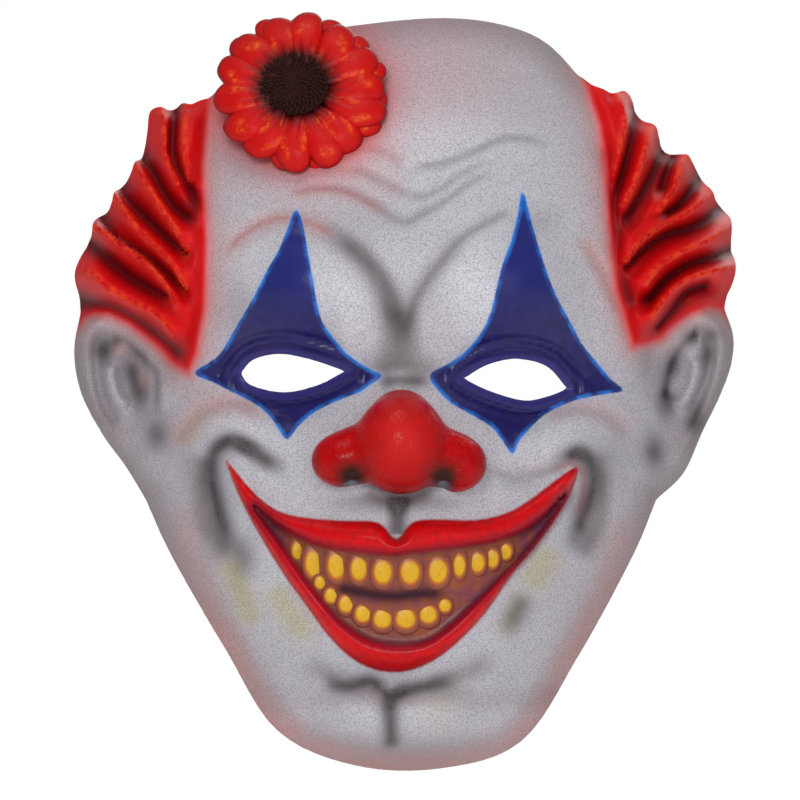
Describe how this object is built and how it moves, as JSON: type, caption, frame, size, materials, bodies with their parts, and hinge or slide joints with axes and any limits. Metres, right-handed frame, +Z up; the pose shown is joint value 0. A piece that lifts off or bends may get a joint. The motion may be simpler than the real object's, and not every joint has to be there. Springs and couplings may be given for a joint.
{
  "type": "latex halloween mask",
  "caption": "Open-backed latex clown mask: white grinning face with red hair and nose, blue diamond eyes, a flower on the forehead and an adjustable elastic head strap.",
  "frame": {"origin": "midway between the two eye openings, where the nose bridge of the wearer sits in the mask", "axes": "+Z up along the face, +Y from the face back into the wearer's head, +X to the viewer's right"},
  "size_m": [0.1982, 0.1149, 0.2271],
  "materials": {
    "white_latex": "satin painted latex",
    "flower_latex": "gloss painted latex",
    "tab_rubber": "matt raw latex",
    "rivet_metal": "nickel plated",
    "elastic": "woven elastic",
    "buckle_plastic": "moulded",
    "keeper_plastic": "moulded",
    "thread": "sewing thread"
  },
  "bodies": {
    "mask": {"mask_skin": "white_latex", "flower": "flower_latex", "left_strap_tab": "tab_rubber", "right_strap_tab": "tab_rubber", "left_rivet": "rivet_metal", "right_rivet": "rivet_metal", "left_washer": "rivet_metal", "right_washer": "rivet_metal"},
    "strap": {"strap_left_half": "elastic", "strap_right_half": "elastic", "strap_buckle": "buckle_plastic", "strap_stitches": "thread"},
    "keeper": {"strap_keeper": "keeper_plastic"}
  },
  "joints": [
    {"name": "strap_swing", "type": "hinge", "parent": "mask", "child": "strap", "pos_m": [0, 0.05601, 0.005], "axis": [1, 0, 0], "range_deg": [-10, 150]},
    {"name": "keeper_slide", "type": "slide", "parent": "strap", "child": "keeper", "axis": [1, 0, 0], "range_m": [-0.009, 0.009]}
  ]
}
